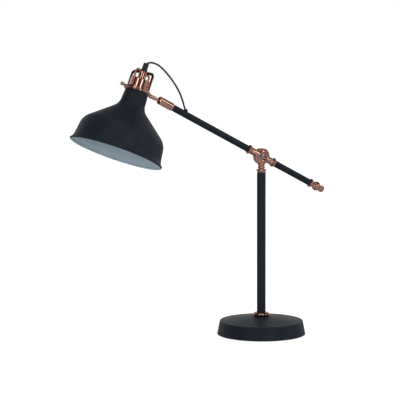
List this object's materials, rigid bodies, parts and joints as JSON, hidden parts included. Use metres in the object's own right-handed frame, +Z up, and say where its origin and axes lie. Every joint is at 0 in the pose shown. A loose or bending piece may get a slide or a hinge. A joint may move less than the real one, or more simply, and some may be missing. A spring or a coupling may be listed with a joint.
{
  "type": "swing arm desk lamp",
  "caption": "Desk lamp with a domed weighted base, a pole, a tilting balanced arm with a turned finial, and a flared shade hung from a caged lampholder.",
  "frame": {"origin": "centre of the foot pad's underside, on the pole's axis", "axes": "+Z up the pole, -X towards the shade, +X towards the counter arm's finial, -Y the side of the knuckle's screw head"},
  "size_m": [0.5822, 0.1838, 0.5537],
  "materials": {
    "black_paint": "matt",
    "copper": "polished copper plate",
    "zinc_steel": "zinc plated",
    "cast_iron": "rough cast",
    "black_rubber": "matt",
    "phenolic": "moulded",
    "yellow_brass": "bright",
    "nylon": "natural",
    "fibre": "vulcanised fibre",
    "shade_lining": "satin white enamel"
  },
  "bodies": {
    "stand": {"foot_pad": "black_rubber", "base_shell": "black_paint", "base_plate": "zinc_steel", "base_weight": "cast_iron", "plate_screw_1": "zinc_steel", "plate_screw_2": "zinc_steel", "plate_screw_3": "zinc_steel", "cord_gland": "black_rubber", "gland_nut": "phenolic", "foot_washer": "zinc_steel", "foot_nut": "zinc_steel", "foot_nipple": "zinc_steel", "base_collar": "copper", "pole_tube": "black_paint", "pole_foot_bush": "zinc_steel", "pole_ferrule": "copper"},
    "neck": {"neck_knuckle": "copper", "neck_washer": "fibre", "neck_nut": "zinc_steel", "pivot_screw": "zinc_steel", "friction_washer": "fibre", "spring_washer": "zinc_steel", "pivot_nut": "zinc_steel"},
    "arm": {"arm_hub": "copper", "front_bead": "copper", "rear_bead": "copper", "boom_washer": "fibre", "boom_nut": "zinc_steel", "arm_tube_rear": "black_paint", "end_ring": "copper", "finial": "copper"},
    "boom": {"boom_tube": "black_paint", "boom_bush": "yellow_brass", "cord_grommet": "black_rubber", "barrel": "copper", "barrel_nose": "copper", "ball_seat": "nylon", "seat_spring": "zinc_steel", "head_cord": "black_rubber"},
    "head": {"head_rod": "copper", "hoop": "copper", "rod_screw": "zinc_steel", "ball_screw": "copper", "cage": "copper", "holder_cup": "copper", "neck_sleeve": "copper", "head_nipple": "zinc_steel", "head_nut": "zinc_steel", "cord_grip": "phenolic", "lampholder_body": "phenolic", "screw_shell": "yellow_brass", "centre_contact": "yellow_brass", "shade_ring": "phenolic", "shade": "black_paint"}
  },
  "joints": [
    {"name": "neck_swivel", "type": "hinge", "parent": "stand", "child": "neck", "pos_m": [0, 0, 0.3313], "axis": [0, 0, 1], "range_deg": [-165, 165]},
    {"name": "arm_tilt", "type": "hinge", "parent": "neck", "child": "arm", "pos_m": [0, 0, 0.364], "axis": [0, 1, 0], "range_deg": [-45, 12]},
    {"name": "boom_twist", "type": "hinge", "parent": "arm", "child": "boom", "pos_m": [0, 0, 0.364], "axis": [-0.9011, 0, 0.4337], "range_deg": [-160, 160]},
    {"name": "head_tilt", "type": "hinge", "parent": "boom", "child": "head", "pos_m": [-0.23473, 0, 0.47697], "axis": [0, 1, 0], "range_deg": [-10, 20], "deforming": ["head_cord"]}
  ]
}
